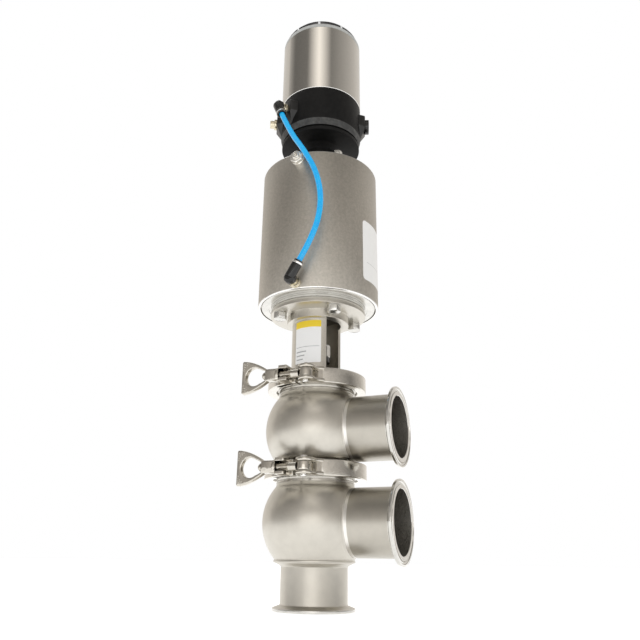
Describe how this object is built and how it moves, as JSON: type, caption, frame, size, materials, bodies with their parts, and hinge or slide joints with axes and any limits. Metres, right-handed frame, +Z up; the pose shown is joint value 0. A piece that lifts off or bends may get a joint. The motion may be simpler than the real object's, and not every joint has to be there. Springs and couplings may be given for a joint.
{
  "type": "mixproof valve",
  "caption": "Pneumatic double-seat tube valve: two ball housings with clamp ports, a windowed yoke, an air actuator and a round control head.",
  "frame": {"origin": "centre of the drain ferrule's open face, at the bottom of the valve", "axes": "+Z up the valve's stem axis; the side ports point along +X; the clamps' swing bolts are on the -Y side"},
  "size_m": [0.153, 0.1511, 0.6633],
  "materials": {
    "blasted_steel": "bead blasted, satin",
    "turned_steel": "turned",
    "polished_steel": "polished",
    "cast_steel": "investment cast, tumbled",
    "brushed_cover": "drawn and brushed",
    "spring_steel": "oiled",
    "target_steel": "ground",
    "piston_alloy": "turned",
    "nickel_brass": "nickel plated brass",
    "black_plastic": "moulded",
    "grey_plastic": "moulded",
    "board_green": "lacquered",
    "smoked_lens": "clear moulded, smoked",
    "blue_tube": "extruded, glossy",
    "seal_rubber": "moulded",
    "white_polymer": "turned"
  },
  "bodies": {
    "root": {"lower_housing": "blasted_steel", "upper_housing": "blasted_steel", "lower_port": "blasted_steel", "upper_port": "blasted_steel", "drain_port": "blasted_steel", "seat_ring": "polished_steel", "joint_seals": "seal_rubber", "bonnet": "polished_steel", "stem_seal": "seal_rubber", "stem_bush": "white_polymer", "drain_seal_carrier": "polished_steel", "drain_bush": "white_polymer", "drain_seal": "seal_rubber", "yoke": "blasted_steel", "yoke_bolts": "polished_steel", "actuator_base": "turned_steel", "actuator_cylinder": "blasted_steel", "actuator_top_cap": "blasted_steel", "top_bolts": "polished_steel", "vent_plug": "polished_steel", "lower_nipple": "nickel_brass", "lower_elbow": "black_plastic", "air_tube": "blue_tube", "head_adapter": "black_plastic", "head_base": "black_plastic", "head_cover": "brushed_cover", "head_lens": "smoked_lens", "cover_seal": "seal_rubber", "circuit_board": "board_green", "pilot_valve": "grey_plastic", "position_sensor": "grey_plastic", "head_nipple": "nickel_brass", "head_elbow": "black_plastic", "silencer": "nickel_brass", "blanking_plug": "black_plastic", "rod_bush": "white_polymer", "main_spring": "spring_steel", "upper_spring": "spring_steel", "lower_clamp_fixed_half": "polished_steel", "lower_clamp_pins": "polished_steel", "upper_clamp_fixed_half": "polished_steel", "upper_clamp_pins": "polished_steel"},
    "upper_plug": {"upper_plug": "polished_steel", "upper_plug_seal": "seal_rubber", "outer_stem": "polished_steel", "actuator_sleeve": "polished_steel", "stem_coupling": "polished_steel", "stroke_collar": "black_plastic"},
    "lower_plug": {"lower_plug": "polished_steel", "lower_plug_seal": "seal_rubber", "inner_stem": "polished_steel", "piston": "piston_alloy", "piston_seal": "seal_rubber", "sensor_target": "target_steel"},
    "lower_clamp_half": {"lower_clamp_swing_half": "polished_steel"},
    "lower_swing_bolt": {"lower_clamp_bolt": "polished_steel"},
    "lower_wing_nut": {"lower_clamp_wing_nut": "cast_steel"},
    "upper_clamp_half": {"upper_clamp_swing_half": "polished_steel"},
    "upper_swing_bolt": {"upper_clamp_bolt": "polished_steel"},
    "upper_wing_nut": {"upper_clamp_wing_nut": "cast_steel"}
  },
  "joints": [
    {"name": "upper_plug_lift", "type": "slide", "parent": "root", "child": "upper_plug", "axis": [0, 0, 1], "range_m": [0, 0.018], "deforming": ["main_spring"]},
    {"name": "lower_plug_lift", "type": "slide", "parent": "upper_plug", "child": "lower_plug", "axis": [0, 0, 1], "range_m": [0, 0.0058], "deforming": ["main_spring", "upper_spring"]},
    {"name": "lower_bolt_swing", "type": "hinge", "parent": "root", "child": "lower_swing_bolt", "pos_m": [0.012, -0.056, 0.1245], "axis": [0, 0, 1], "range_deg": [0, 100]},
    {"name": "lower_nut_travel", "type": "slide", "parent": "lower_swing_bolt", "child": "lower_wing_nut", "axis": [-1, 0, 0], "range_m": [0, 0.008]},
    {"name": "lower_half_open", "type": "hinge", "parent": "root", "child": "lower_clamp_half", "pos_m": [0, 0.0545, 0.1245], "axis": [0, 0, -1], "range_deg": [0, 3.7]},
    {"name": "upper_bolt_swing", "type": "hinge", "parent": "root", "child": "upper_swing_bolt", "pos_m": [0.012, -0.056, 0.2125], "axis": [0, 0, 1], "range_deg": [0, 100]},
    {"name": "upper_nut_travel", "type": "slide", "parent": "upper_swing_bolt", "child": "upper_wing_nut", "axis": [-1, 0, 0], "range_m": [0, 0.008]},
    {"name": "upper_half_open", "type": "hinge", "parent": "root", "child": "upper_clamp_half", "pos_m": [0, 0.0545, 0.2125], "axis": [0, 0, -1], "range_deg": [0, 3.7]}
  ],
  "couplings": [
    {"joint": "lower_half_open", "follows": "lower_nut_travel", "rad_per_m": 8},
    {"joint": "upper_half_open", "follows": "upper_nut_travel", "rad_per_m": 8}
  ]
}
